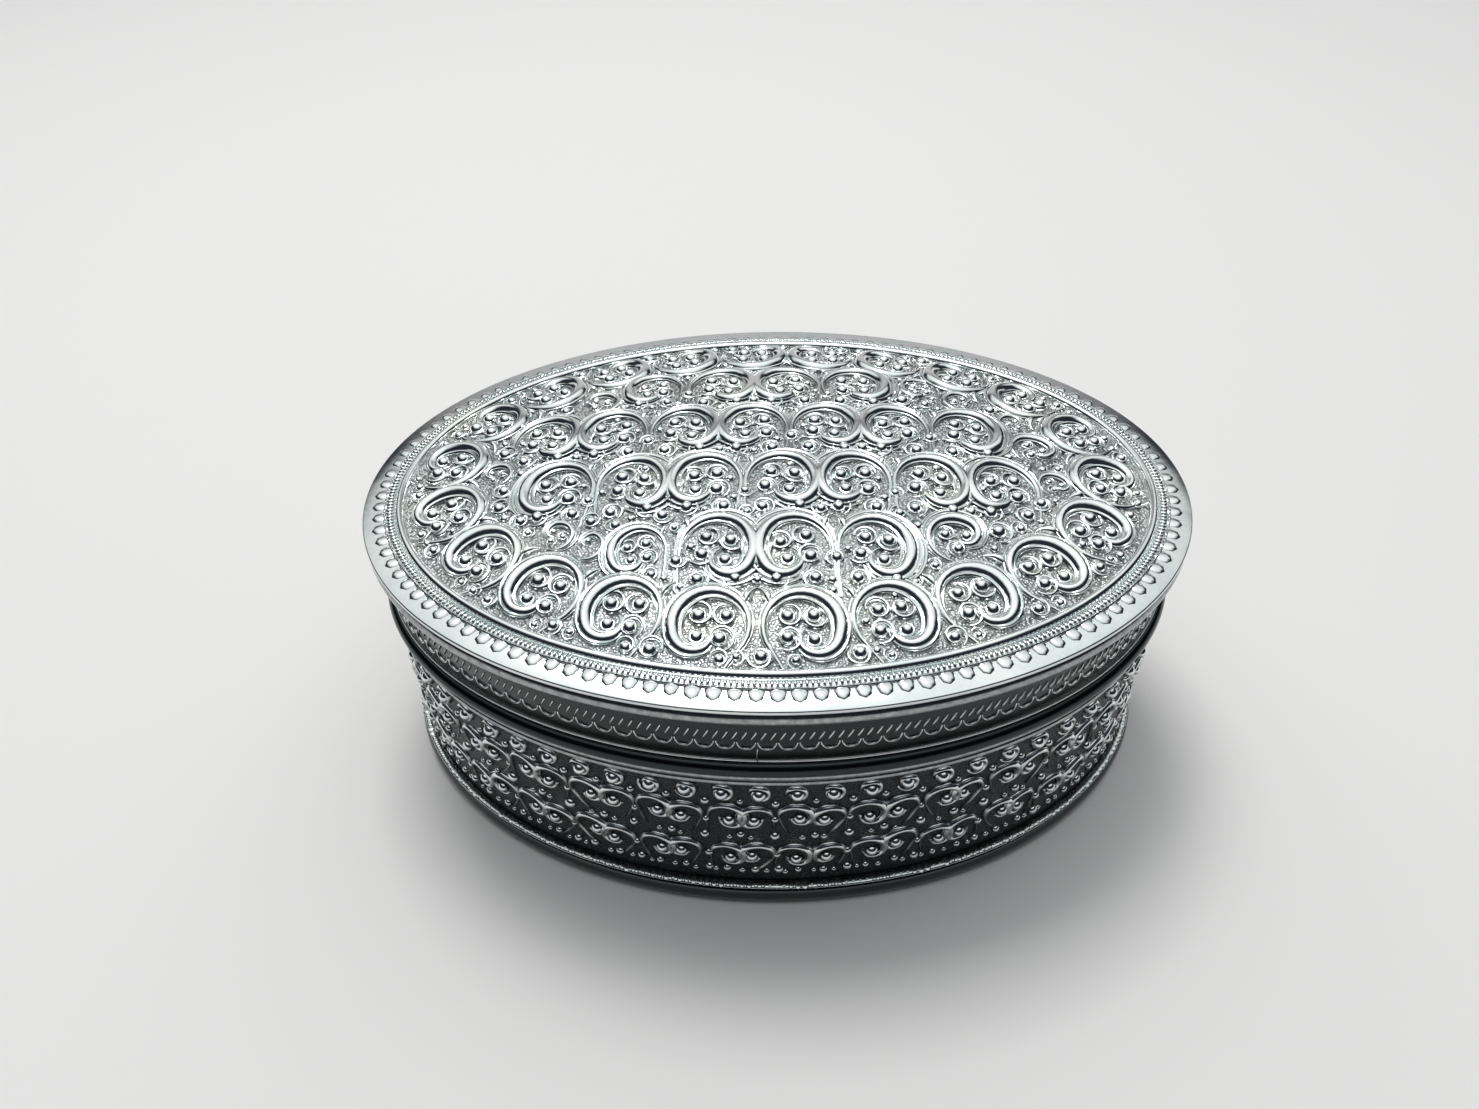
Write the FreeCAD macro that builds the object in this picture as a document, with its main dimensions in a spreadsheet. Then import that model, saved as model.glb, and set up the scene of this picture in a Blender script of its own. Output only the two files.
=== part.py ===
import FreeCAD, Part
import math
import os
import Sketcher

doc = FreeCAD.newDocument("oval_box")
sheet = doc.addObject("Spreadsheet::Sheet", "sizes")
drivingSizes = (
    ("wall_length", 145.4),        # outside of the wall, along X
    ("wall_width", 103.4),         # outside of the wall, along Y
    ("wall_height", 39.3),
    ("wall_thickness", 0.8),
    ("solder_gap", 0.05),          # seam between two pieces that are soldered together
    ("plate_recess", 0.8),         # underside of the base plate above the table
    ("plate_thickness", 0.9),
    ("moulding_height", 5),
    ("moulding_proud", 2.1),
    ("collar_height", 3.2),
    ("collar_proud", 1.5),
    ("reed_height", 1.35),         # each of the two reeds below the collar
    ("reed_proud", 0.55),
    ("flange_depth", 12),          # bezel below the top of the wall
    ("flange_rise", 7),            # bezel above the top of the wall
    ("flange_thickness", 0.8),
    ("flange_bevel", 0.3),
    ("lid_clearance", 0.25),       # bezel to the inside of the lid
    ("lid_seat_gap", 0.1),         # lower edge of the lid to the top of the wall
    ("skirt_height", 13.9),
    ("skirt_thickness", 0.8),
    ("rim_height", 3.4),
    ("rim_proud", 2),
    ("border_overhang", 2.1),      # edge of the border outside the skirt
    ("border_edge", 0.9),          # thickness of the border at its edge
    ("border_bevel", 0.2),
    ("border_slope_width", 4.2),
    ("border_slope_rise", 0.4),
    ("border_ledge", 1.2),         # bearing of the panel on the border
    ("milled_width", 1.6),
    ("milled_height", 0.6),
    ("fillet_width", 1.8),
    ("fillet_height", 1.2),
    ("dome_height", 6.8),
    ("panel_thickness", 0.8),
    ("scroll_relief", 0.7),        # chased scrolls above the ground of the panel
    ("scroll_ribbon", 1.9),        # width of a scroll's ribbon
    ("border_scroll", 6.85),       # outside radius of the scrolls along the panel's border
    ("border_scroll_inset", 7.1),
    ("inner_scroll", 6.4),         # outside radius of the scrolls in the rows inside them
    ("scroll_spacing", 13),        # along a row
    ("scroll_row_spacing", 15.8),
    ("first_row_shift", 3.3),      # a scroll's place along X in each row, from the front row back
    ("second_row_shift", 1.1),
    ("third_row_shift", -3.5),
    ("fourth_row_shift", 3),
    ("boss_radius", 2.75),         # scrolls of the wall, in pairs
    ("boss_proud", 0.9),
    ("boss_half_spacing", 2.85),   # middle of a pair to the middle of each boss
    ("boss_height", 5.6),
    ("upper_boss_level", 24.2),    # middle of each row of bosses
    ("lower_boss_level", 13.6),
    ("dome_angle", 60),            # degrees: latitude on its ellipsoid at which the dome ends
    ("crown_angle", 84),           # degrees: latitude of the small flat at the dome's top
    ("edge_angle", 12),            # degrees: where a half-round wire is flattened at its two edges
    ("foot_angle", 30),            # degrees: the same, for the flat that the box stands on
)
for row, (alias, value) in enumerate(drivingSizes, 1):
    sheet.set(f"A{row}", alias)
    sheet.set(f"B{row}", str(value))
    sheet.setAlias(f"B{row}", alias)
doc.recompute()

# Ovals, as offsets outwards from the outside of the wall.
wallOut = "0"
wallIn = "-sizes.wall_thickness"
trimBack = "sizes.solder_gap"
plateOut = f"{wallIn} - sizes.solder_gap"
flangeOut = f"{wallIn} - sizes.solder_gap"
flangeIn = f"{flangeOut} - sizes.flange_thickness"
skirtIn = f"{flangeOut} + sizes.lid_clearance"
skirtOut = f"{skirtIn} + sizes.skirt_thickness"
rimBack = f"{skirtOut} + sizes.solder_gap"
borderOut = f"{skirtOut} + sizes.border_overhang"
slopeTop = f"{borderOut} - sizes.border_slope_width"
milledOut = f"{slopeTop} - sizes.solder_gap"
filletOut = f"{milledOut} - sizes.milled_width - sizes.solder_gap"
panelEdge = f"{filletOut} - sizes.fillet_width - sizes.solder_gap"
borderIn = f"{panelEdge} - sizes.border_ledge"

# Heights above the table.
collarLow = "sizes.wall_height - sizes.collar_height"
reedLow = f"{collarLow} - sizes.solder_gap - 2*sizes.reed_height"
flangeLow = "sizes.wall_height - sizes.flange_depth"
flangeTop = "sizes.wall_height + sizes.flange_rise"
skirtLow = "sizes.wall_height + sizes.lid_seat_gap"
borderLow = f"{skirtLow} + sizes.skirt_height"
rimLow = f"{borderLow} - sizes.solder_gap - sizes.rim_height"
borderEdgeTop = f"{borderLow} + sizes.border_edge"
ledgeTop = f"{borderEdgeTop} + sizes.border_slope_rise"


def valueOf(expression):
    return float(sheet.evalExpression(expression))


def newBody(label):
    body = doc.addObject("PartDesign::Body", label)
    body.Label = label
    return body


def newFeature(body, kind, name):
    feature = body.newObject(kind, f"{body.Label}_{name}")
    if hasattr(feature, "Refine"):
        feature.Refine = False
    return feature


def bind(sketch, kind, line, expression):
    number = sketch.addConstraint(Sketcher.Constraint(kind, line, valueOf(expression)))
    sketch.setExpression(f"Constraints[{number}]", expression)


def flatSketch(body, name, height):
    sketch = newFeature(body, "Sketcher::SketchObject", name)
    plane = next(f for f in body.Origin.OriginFeatures if f.Role == "XY_Plane")
    sketch.AttachmentSupport = (plane, "")
    sketch.MapMode = "FlatFace"
    sketch.setExpression("AttachmentOffset.Base.z", height)
    return sketch


# An oval outline across the box: the wall's, moved outwards by an offset and then shrunk to a share.
def ovalSketch(body, name, offset, height, share="1"):
    sketch = flatSketch(body, name, height)
    addOval(sketch, offset, share)
    return sketch


def addOval(sketch, offset, share="1"):
    length = f"(sizes.wall_length + 2*({offset}))*{share}"
    width = f"(sizes.wall_width + 2*({offset}))*{share}"
    major = FreeCAD.Vector(valueOf(length) / 2, 0, 0)
    minor = FreeCAD.Vector(0, valueOf(width) / 2, 0)
    oval = sketch.addGeometry(Part.Ellipse(major, minor, FreeCAD.Vector(0, 0, 0)), False)
    sketch.exposeInternalGeometry(oval)
    majorAxis = oval + 1
    minorAxis = oval + 2
    sketch.addConstraint(Sketcher.Constraint("Coincident", oval, 3, -1, 1))
    sketch.addConstraint(Sketcher.Constraint("Horizontal", majorAxis))
    bind(sketch, "Distance", majorAxis, length)
    bind(sketch, "Distance", minorAxis, width)


# A skin of straight bands through outlines that are given from the lowest up.
def bandedLoft(body, kind, name, outlines):
    sketches = [ovalSketch(body, f"{name}_{number}", *outline) for number, outline in enumerate(outlines)]
    feature = newFeature(body, kind, name)
    feature.Profile = sketches[0]
    feature.Sections = sketches[1:]
    feature.Ruled = True
    return feature


def cutThrough(body, name, offset, height):
    feature = newFeature(body, "PartDesign::Pocket", name)
    feature.Profile = ovalSketch(body, f"{name}_outline", offset, height)
    feature.Type = "ThroughAll"
    return feature


# A flat oval sheet, or with an inside given, a strip bent round the oval.
def sheetPiece(label, low, height, outside, inside=None):
    body = newBody(label)
    blank = newFeature(body, "PartDesign::Pad", "blank")
    blank.Profile = ovalSketch(body, "outline", outside, low)
    blank.setExpression("Length", height)
    if inside:
        cutThrough(body, "inside", inside, f"{low} + {height}")
    return body


# Outlines of a half-round section that stands against an upright face.
def uprightBow(back, low, height, proud, startAngle, endAngle, bands):
    outlines = []
    for band in range(bands + 1):
        angle = f"({startAngle} + ({endAngle} - {startAngle})*{band}/{bands})"
        rise = f"(cos({startAngle}) - cos({angle}))/(cos({startAngle}) - cos({endAngle}))"
        outlines.append((f"{back} + {proud}*sin({angle})", f"{low} + {height}*{rise}"))
    return outlines


def uprightWire(label, back, outlines):
    body = newBody(label)
    bandedLoft(body, "PartDesign::AdditiveLoft", "bow", outlines)
    cutThrough(body, "back", back, outlines[-1][1])
    return body


# A half-round wire that lies on the ledge of the lid border: its outer flank, less all inside its inner flank.
def lyingWire(label, outside, low, width, rise, bands):
    body = newBody(label)
    middle = f"{outside} - {width}/2"
    for kind, name, side in (("Additive", "outer_flank", "+"), ("Subtractive", "inner_flank", "-")):
        outlines = []
        for band in range(bands + 1):
            angle = f"((90 - sizes.edge_angle)*{band}/{bands})"
            height = f"{low} + {rise}*sin({angle})/cos(sizes.edge_angle)"
            outlines.append((f"{middle} {side} {width}/2*cos({angle})", height))
        bandedLoft(body, f"PartDesign::{kind}Loft", name, outlines)
    return body


# Angles at which marks stand evenly along an oval, pairs of them where a half spacing is given.
def evenAngles(offset, count, shift=0.0, halfSpacing=0.0):
    longHalf = valueOf(f"sizes.wall_length/2 + {offset}")
    shortHalf = valueOf(f"sizes.wall_width/2 + {offset}")
    steps = 2880
    runs = [0.0]
    for step in range(steps):
        angle = math.tau * (step + 0.5) / steps
        runs.append(runs[-1] + math.hypot(longHalf * math.sin(angle), shortHalf * math.cos(angle)) * math.tau / steps)
    angles = []
    for number in range(count):
        for side in ((-1, 1) if halfSpacing else (0,)):
            distance = runs[-1] * (0.75 + (number + 0.5) / count) + shift + side * halfSpacing
            distance %= runs[-1]
            step = sum(run <= distance for run in runs) - 1
            angles.append(360 * (step + (distance - runs[step]) / (runs[step + 1] - runs[step])) / steps)
    return angles


# Middles of marks round an oval, as expressions.
def ringMiddles(offset, angles):
    return [
        (f"(sizes.wall_length/2 + {offset})*cos({angle:.4f})", f"(sizes.wall_width/2 + {offset})*sin({angle:.4f})")
        for angle in angles
    ]


# Circles in one sketch, each given as its middle and radius, with all their sizes bound at once.
def addCircles(sketch, circles):
    geometry = []
    for (x, y), radius in circles:
        spot = FreeCAD.Vector(valueOf(x), valueOf(y), 0)
        geometry.append(Part.Circle(spot, FreeCAD.Vector(0, 0, 1), valueOf(radius)))
    numbers = sketch.addGeometry(geometry, False)
    constraints = []
    expressions = []
    for number, ((x, y), radius) in zip(numbers, circles):
        constraints.append(Sketcher.Constraint("DistanceX", -1, 1, number, 3, valueOf(x)))
        constraints.append(Sketcher.Constraint("DistanceY", -1, 1, number, 3, valueOf(y)))
        constraints.append(Sketcher.Constraint("Radius", number, valueOf(radius)))
        expressions += [x, y, radius]
    for number, expression in zip(sketch.addConstraint(constraints), expressions):
        sketch.setExpression(f"Constraints[{number}]", expression)


# Bosses that stand on the wall in pairs: upright rounds that reach into the wall.
def wallBosses(body, name, level):
    middleOff = "(sizes.boss_proud - sizes.boss_radius)"
    sketch = flatSketch(body, f"{name}_outline", f"{level} - sizes.boss_height/2")
    angles = evenAngles(middleOff, pairCount, 0.0, valueOf("sizes.boss_half_spacing"))
    addCircles(sketch, [(middle, "sizes.boss_radius") for middle in ringMiddles(middleOff, angles)])
    bosses = newFeature(body, "PartDesign::Pad", name)
    bosses.Profile = sketch
    bosses.setExpression("Length", "sizes.boss_height")


# Box: wall, base, foot, trim and the bezel that locates the lid.
pairCount = 32
bodyWall = sheetPiece("body_wall", "0", "sizes.wall_height", wallOut)
wallBosses(bodyWall, "upper_bosses", "sizes.upper_boss_level")
wallBosses(bodyWall, "lower_bosses", "sizes.lower_boss_level")
cutThrough(bodyWall, "inside", wallIn, "sizes.wall_height")
basePlate = sheetPiece("base_plate", "sizes.plate_recess", "sizes.plate_thickness", plateOut)

mouldingBow = uprightBow(
    trimBack, "0", "sizes.moulding_height", "sizes.moulding_proud",
    "sizes.foot_angle", "(180 - sizes.edge_angle)", 4,
)
baseMoulding = uprightWire("base_moulding", trimBack, mouldingBow)

fullBow = ("sizes.edge_angle", "(180 - sizes.edge_angle)")
collarBow = uprightBow(trimBack, collarLow, "sizes.collar_height", "sizes.collar_proud", *fullBow, 4)
bodyCollar = uprightWire("body_collar", trimBack, collarBow)

lowerReed = uprightBow(trimBack, reedLow, "sizes.reed_height", "sizes.reed_proud", *fullBow, 2)
upperReed = uprightBow(
    trimBack, f"{reedLow} + sizes.reed_height", "sizes.reed_height", "sizes.reed_proud", *fullBow, 2
)
reedWire = uprightWire("reed_wire", trimBack, lowerReed + upperReed[1:])

innerFlange = newBody("inner_flange")
flangeOutlines = (
    (flangeOut, flangeLow),
    (flangeOut, f"{flangeTop} - sizes.flange_bevel"),
    (f"{flangeOut} - sizes.flange_bevel", flangeTop),
)
bandedLoft(innerFlange, "PartDesign::AdditiveLoft", "strip", flangeOutlines)
cutThrough(innerFlange, "inside", flangeIn, flangeTop)

# Lid: skirt, rim, border, wires and the domed panel.
lidSkirt = sheetPiece("lid_skirt", skirtLow, "sizes.skirt_height", skirtOut, skirtIn)
rimBow = uprightBow(rimBack, rimLow, "sizes.rim_height", "sizes.rim_proud", *fullBow, 4)
lidRim = uprightWire("lid_rim", rimBack, rimBow)

lidBorder = newBody("lid_border")
borderOutlines = (
    (f"{borderOut} - sizes.border_bevel", borderLow),
    (borderOut, f"{borderLow} + sizes.border_bevel"),
    (borderOut, f"{borderEdgeTop} - sizes.border_bevel"),
    (f"{borderOut} - sizes.border_bevel", borderEdgeTop),
    (slopeTop, ledgeTop),
)
bandedLoft(lidBorder, "PartDesign::AdditiveLoft", "slope", borderOutlines)
cutThrough(lidBorder, "window", borderIn, ledgeTop)

milledWire = lyingWire("milled_wire", milledOut, ledgeTop, "sizes.milled_width", "sizes.milled_height", 2)
panelWire = lyingWire("panel_wire", filletOut, ledgeTop, "sizes.fillet_width", "sizes.fillet_height", 2)

# The panel is a cap of an ellipsoid, hollowed by the same cap one sheet thickness lower.
def domeOutlines(lift):
    outlines = []
    for band in range(domeBands + 1):
        angle = f"(sizes.dome_angle + (sizes.crown_angle - sizes.dome_angle)*{band}/{domeBands})"
        rise = f"(sin({angle}) - sin(sizes.dome_angle))/(sin(sizes.crown_angle) - sin(sizes.dome_angle))"
        share = f"cos({angle})/cos(sizes.dome_angle)"
        outlines.append((panelEdge, f"{ledgeTop} + {lift} + sizes.dome_height*{rise}", share))
    return outlines


# Middles of the panel's scrolls: one row follows the border, and straight rows fill the oval inside it.
def scrollMiddles():
    borderLine = f"{panelEdge} - sizes.border_scroll_inset"
    border = ringMiddles(borderLine, evenAngles(borderLine, borderScrolls, valueOf("-sizes.scroll_spacing/4")))
    taken = [(valueOf(x), valueOf(y)) for x, y in border]
    clear = valueOf("sizes.border_scroll + sizes.inner_scroll + sizes.solder_gap")
    longHalf = valueOf(f"sizes.wall_length/2 + {borderLine}")
    shortHalf = valueOf(f"sizes.wall_width/2 + {borderLine}")
    inner = []
    for row, shift in enumerate(("first_row_shift", "second_row_shift", "third_row_shift", "fourth_row_shift")):
        y = f"sizes.scroll_row_spacing*({row} - 1.5)"
        for place in range(-rowReach, rowReach + 1):
            x = f"sizes.{shift} + sizes.scroll_spacing*{place}"
            spot = (valueOf(x), valueOf(y))
            inside = math.hypot(spot[0] / longHalf, spot[1] / shortHalf) < 1
            if inside and all(math.dist(spot, other) > clear for other in taken):
                inner.append((x, y))
    return border, inner


domeBands = 9
borderScrolls = 22
rowReach = 6
lidPanel = newBody("lid_panel")
lidPanel.AllowCompound = True
crownTop = f"{ledgeTop} + sizes.dome_height + sizes.scroll_relief"
blankOutlines = [(panelEdge, ledgeTop)] + domeOutlines("sizes.scroll_relief")
bandedLoft(lidPanel, "PartDesign::AdditiveLoft", "scroll_blank", blankOutlines)
groundSketch = flatSketch(lidPanel, "ground_outline", crownTop)
addOval(groundSketch, filletOut)
borderMiddles, innerMiddles = scrollMiddles()
scrollCircles = []
for middles, outside in ((borderMiddles, "sizes.border_scroll"), (innerMiddles, "sizes.inner_scroll")):
    for middle in middles:
        scrollCircles.append((middle, outside))
        scrollCircles.append((middle, f"{outside} - sizes.scroll_ribbon"))
addCircles(groundSketch, scrollCircles)
ground = newFeature(lidPanel, "PartDesign::Pocket", "ground")
ground.Profile = groundSketch
ground.Type = "ThroughAll"
bandedLoft(lidPanel, "PartDesign::AdditiveLoft", "dome", domeOutlines("0"))
bandedLoft(lidPanel, "PartDesign::SubtractiveLoft", "hollow", domeOutlines("-sizes.panel_thickness"))
print("scrolls", len(borderMiddles), len(innerMiddles))
doc.recompute()

nodes = (
    bodyWall, basePlate, baseMoulding, bodyCollar, reedWire, innerFlange,
    lidSkirt, lidRim, lidBorder, milledWire, panelWire, lidPanel,
)
for item in doc.Objects:
    if "Invalid" in item.State or "Error" in item.State:
        raise RuntimeError(f"{item.Label} did not recompute")
for body in nodes:
    if body.Shape.isNull() or not body.Shape.isValid() or len(body.Shape.Solids) != 1:
        raise RuntimeError(f"{body.Label} is not one sound solid")
os.makedirs("parts", exist_ok=True)
for body in nodes:
    body.Shape.exportStep(f"parts/{body.Label}.step")
    print(body.Label, round(body.Shape.Volume, 1), "mm3")
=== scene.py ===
import bisect
import math
import random
import bmesh
import bpy
import numpy
from mathutils import Matrix, Vector, kdtree, noise


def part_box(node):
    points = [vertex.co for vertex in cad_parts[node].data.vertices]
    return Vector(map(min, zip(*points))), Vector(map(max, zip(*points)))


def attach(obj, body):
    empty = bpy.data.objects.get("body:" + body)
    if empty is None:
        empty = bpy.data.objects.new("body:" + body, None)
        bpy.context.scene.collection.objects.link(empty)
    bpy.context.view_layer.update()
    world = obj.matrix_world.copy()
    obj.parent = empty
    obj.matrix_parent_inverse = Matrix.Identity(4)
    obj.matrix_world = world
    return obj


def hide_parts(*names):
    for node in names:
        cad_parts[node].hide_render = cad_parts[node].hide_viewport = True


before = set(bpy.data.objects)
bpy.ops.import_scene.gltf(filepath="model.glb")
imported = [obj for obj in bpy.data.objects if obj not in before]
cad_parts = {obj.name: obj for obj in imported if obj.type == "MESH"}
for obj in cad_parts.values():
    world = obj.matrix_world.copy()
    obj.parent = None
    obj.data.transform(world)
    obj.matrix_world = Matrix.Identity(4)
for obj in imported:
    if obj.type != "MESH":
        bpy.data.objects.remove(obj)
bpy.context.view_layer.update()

scene = bpy.context.scene
mm = 0.001                      # lengths are millimetres until a piece is finished
hand = random.Random(11)        # the maker's small unevenness

# the oval, on the outside of the wall
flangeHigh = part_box("inner_flange")[1]
flangeToOutside = 0.85
halfLong, halfShort = flangeHigh[0] / mm + flangeToOutside, flangeHigh[1] / mm + flangeToOutside
print("oval", round(halfLong, 2), round(halfShort, 2))


# silver finishes
def newGroup(name, inputs, outputs):
    tree = bpy.data.node_groups.new(name, "ShaderNodeTree")
    for label, kind, value in inputs:
        socket = tree.interface.new_socket(label, in_out="INPUT", socket_type=kind)
        socket.default_value = value
    for label, kind in outputs:
        tree.interface.new_socket(label, in_out="OUTPUT", socket_type=kind)
    return tree, tree.nodes.new("NodeGroupInput"), tree.nodes.new("NodeGroupOutput")


def addNode(tree, kind, settings=None, **values):
    node = tree.nodes.new(kind)
    for key, value in (settings or {}).items():
        setattr(node, key, value)
    for key, value in values.items():
        node.inputs[key].default_value = value
    return node


def mathNode(tree, operation, first, second, third=None):
    node = tree.nodes.new("ShaderNodeMath")
    node.operation = operation
    for number, value in enumerate((first, second, third)):
        if value is None:
            continue
        if isinstance(value, (int, float)):
            node.inputs[number].default_value = value
        else:
            tree.links.new(value, node.inputs[number])
    return node.outputs[0]


def rangeNode(tree, value, low, high):
    node = tree.nodes.new("ShaderNodeMapRange")
    node.interpolation_type = "SMOOTHSTEP"
    tree.links.new(value, node.inputs["Value"])
    node.inputs["From Min"].default_value = low
    node.inputs["From Max"].default_value = high
    return node.outputs["Result"]


def mixColour(tree, factor, first, second):
    node = tree.nodes.new("ShaderNodeMix")
    node.data_type = "RGBA"
    tree.links.new(factor, node.inputs["Factor"])
    for key, value in (("A", first), ("B", second)):
        socket = next(s for s in node.inputs if s.name == key and s.type == "RGBA")
        if isinstance(value, tuple):
            socket.default_value = (*value, 1)
        else:
            tree.links.new(value, socket)
    return next(s for s in node.outputs if s.type == "RGBA")


# colours of the metal, and scales of its patterns per metre
silver = {
    "bright": (0.90, 0.925, 0.905),
    "cool": (0.78, 0.825, 0.835),
    # the dark colour: patina in the hollows, and painted shade and painted dark reflection on the side trims, wall and
    # foot
    "patinaAndShade": (0.035, 0.042, 0.042),
    "clouds": 70, "mottle": 900, "waves": 160,
    "punch": 2000,              # half-millimetre matting punch
}


def agedAndShadedSilverGroup():
    tree, given, result = newGroup(
        "agedAndShadedSilver",
        (("ReliefAndShade", "NodeSocketFloat", 1.0), ("TarnishAndShade", "NodeSocketFloat", 0.5),
         ("Polish", "NodeSocketFloat", 0.12), ("Stipple", "NodeSocketFloat", 0.0),
         ("PaintedShade", "NodeSocketFloat", 0.0)),
        (("Color", "NodeSocketColor"), ("Roughness", "NodeSocketFloat"), ("Height", "NodeSocketFloat")),
    )
    place = tree.nodes.new("ShaderNodeTexCoord").outputs["Object"]
    clouds = addNode(tree, "ShaderNodeTexNoise", Scale=silver["clouds"], Detail=3)
    mottle = addNode(tree, "ShaderNodeTexNoise", Scale=silver["mottle"], Detail=6, Roughness=0.65)
    waves = addNode(tree, "ShaderNodeTexNoise", Scale=silver["waves"], Detail=2)
    punch = addNode(tree, "ShaderNodeTexVoronoi", {"feature": "F1"}, Scale=silver["punch"])
    for texture in (clouds, mottle, waves, punch):
        tree.links.new(place, texture.inputs["Vector"])
    tone = mixColour(tree, rangeNode(tree, clouds.outputs[0], 0.35, 0.68), silver["cool"], silver["bright"])
    pit = mathNode(tree, "MULTIPLY", rangeNode(tree, punch.outputs["Distance"], 0.25, 0.7), given.outputs["Stipple"])
    # darker where the metal sits low, patina in the hollows; a low fixed relief share on plain trims paints shade and
    # dark reflection there
    depthAndShade = mathNode(tree, "SUBTRACT", 1.0, given.outputs["ReliefAndShade"])
    depthAndShade = mathNode(tree, "MULTIPLY_ADD", pit, 0.35, depthAndShade)
    broken = mathNode(tree, "MULTIPLY_ADD", mottle.outputs[0], 0.9, 0.55)
    stainAndShade = mathNode(tree, "MULTIPLY", mathNode(tree, "MULTIPLY", depthAndShade, broken), given.outputs["TarnishAndShade"])
    stainAndShade = rangeNode(tree, stainAndShade, 0.0, 1.0)
    stainedAndShaded = mixColour(tree, stainAndShade, tone, silver["patinaAndShade"])
    # a last mix darkens the whole piece alike: painted shade
    tree.links.new(mixColour(tree, given.outputs["PaintedShade"], stainedAndShaded, silver["patinaAndShade"]), result.inputs["Color"])
    rough = mathNode(tree, "MULTIPLY_ADD", stainAndShade, 0.12, given.outputs["Polish"])
    rough = mathNode(tree, "MULTIPLY_ADD", mottle.outputs[0], 0.08, rough)
    tree.links.new(rough, result.inputs["Roughness"])
    height = mathNode(tree, "MULTIPLY_ADD", mottle.outputs[0], 0.06, waves.outputs[0])
    height = mathNode(tree, "MULTIPLY_ADD", pit, -0.6, height)
    tree.links.new(height, result.inputs["Height"])
    return tree


agedAndShadedSilver = agedAndShadedSilverGroup()


def silverMaterial(name, finish):
    material = bpy.data.materials.new(name)
    material.use_nodes = True
    tree = material.node_tree
    shader = tree.nodes["Principled BSDF"]
    shader.inputs["Metallic"].default_value = 1.0
    agedAndShaded = tree.nodes.new("ShaderNodeGroup")
    agedAndShaded.node_tree = agedAndShadedSilver
    for key in ("TarnishAndShade", "Polish", "Stipple"):
        agedAndShaded.inputs[key].default_value = finish[key]
    agedAndShaded.inputs["PaintedShade"].default_value = finish.get("PaintedShade", 0)
    if "ReliefAndShade" in finish:
        agedAndShaded.inputs["ReliefAndShade"].default_value = finish["ReliefAndShade"]
    else:
        reliefAndFacingLight = addNode(tree, "ShaderNodeAttribute", {"attribute_name": "reliefAndFacingLight"})
        tree.links.new(reliefAndFacingLight.outputs["Fac"], agedAndShaded.inputs["ReliefAndShade"])
    bump = addNode(tree, "ShaderNodeBump", Strength=finish["Dents"], Distance=0.0005)
    tree.links.new(agedAndShaded.outputs["Height"], bump.inputs["Height"])
    tree.links.new(agedAndShaded.outputs["Color"], shader.inputs["Base Color"])
    tree.links.new(agedAndShaded.outputs["Roughness"], shader.inputs["Roughness"])
    tree.links.new(bump.outputs["Normal"], shader.inputs["Normal"])
    return material


# the relief share is how far the metal stands out, set here where the piece has no height of its own; low shares with
# strong tarnish are patina on the lid, but painted shade and painted dark reflection on the side trims, reeds, rim and
# foot, and partly patina, partly painted shade in the wall's ground; the foot's last share darkens all of it alike, as
# painted shade
finishes = {
    "lidScroll": {"TarnishAndShade": 0.5, "Polish": 0.05, "Stipple": 0.0, "Dents": 0.2},
    "lidGround": {"TarnishAndShade": 0.75, "Polish": 0.2, "Stipple": 1.0, "Dents": 0.5, "ReliefAndShade": 0.48},
    # collar and skirt: painted dark reflection and painted shade
    "sideTrim": {"TarnishAndShade": 1.3, "Polish": 0.06, "Stipple": 0.0, "Dents": 0.12, "ReliefAndShade": 0.04},
    # skirt chasing and wall scrolls: painted light, lighter facing up and darker facing down, set when laid on
    "sideChasing": {"TarnishAndShade": 0.95, "Polish": 0.12, "Stipple": 0.0, "Dents": 0.2},
    "wallScroll": {"TarnishAndShade": 1.1, "Polish": 0.09, "Stipple": 0.0, "Dents": 0.25},
    # wall ground: partly patina in the hollows, partly painted shade and painted dark reflection
    "wallGround": {"TarnishAndShade": 1.2, "Polish": 0.16, "Stipple": 1.0, "Dents": 0.6, "ReliefAndShade": 0.12},
    # reeds and lid rim: painted dark reflection
    "footTrim": {"TarnishAndShade": 0.95, "Polish": 0.1, "Stipple": 0.0, "Dents": 0.3, "ReliefAndShade": 0.4},
    # foot moulding: almost black, painted shade and painted dark reflection under the box
    "footDark": {"TarnishAndShade": 0.3, "Polish": 0.06, "Stipple": 0.0, "Dents": 0.2, "ReliefAndShade": 0.6, "PaintedShade": 0.96},
    "wornEdge": {"TarnishAndShade": 0.9, "Polish": 0.14, "Stipple": 0.0, "Dents": 0.5, "ReliefAndShade": 0.6},
    "plainTrim": {"TarnishAndShade": 0.5, "Polish": 0.08, "Stipple": 0.0, "Dents": 0.2, "ReliefAndShade": 0.9},
    "chasedTrim": {"TarnishAndShade": 0.7, "Polish": 0.1, "Stipple": 0.0, "Dents": 0.25, "ReliefAndShade": 0.75},
    "insideSilver": {"TarnishAndShade": 0.5, "Polish": 0.28, "Stipple": 0.0, "Dents": 0.3, "ReliefAndShade": 0.75},
}
silvers = {name: silverMaterial(name, finish) for name, finish in finishes.items()}
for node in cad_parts.values():
    node.data.materials.clear()
    node.data.materials.append(silvers["insideSilver"])
print("finishes:", len(silvers))


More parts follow.
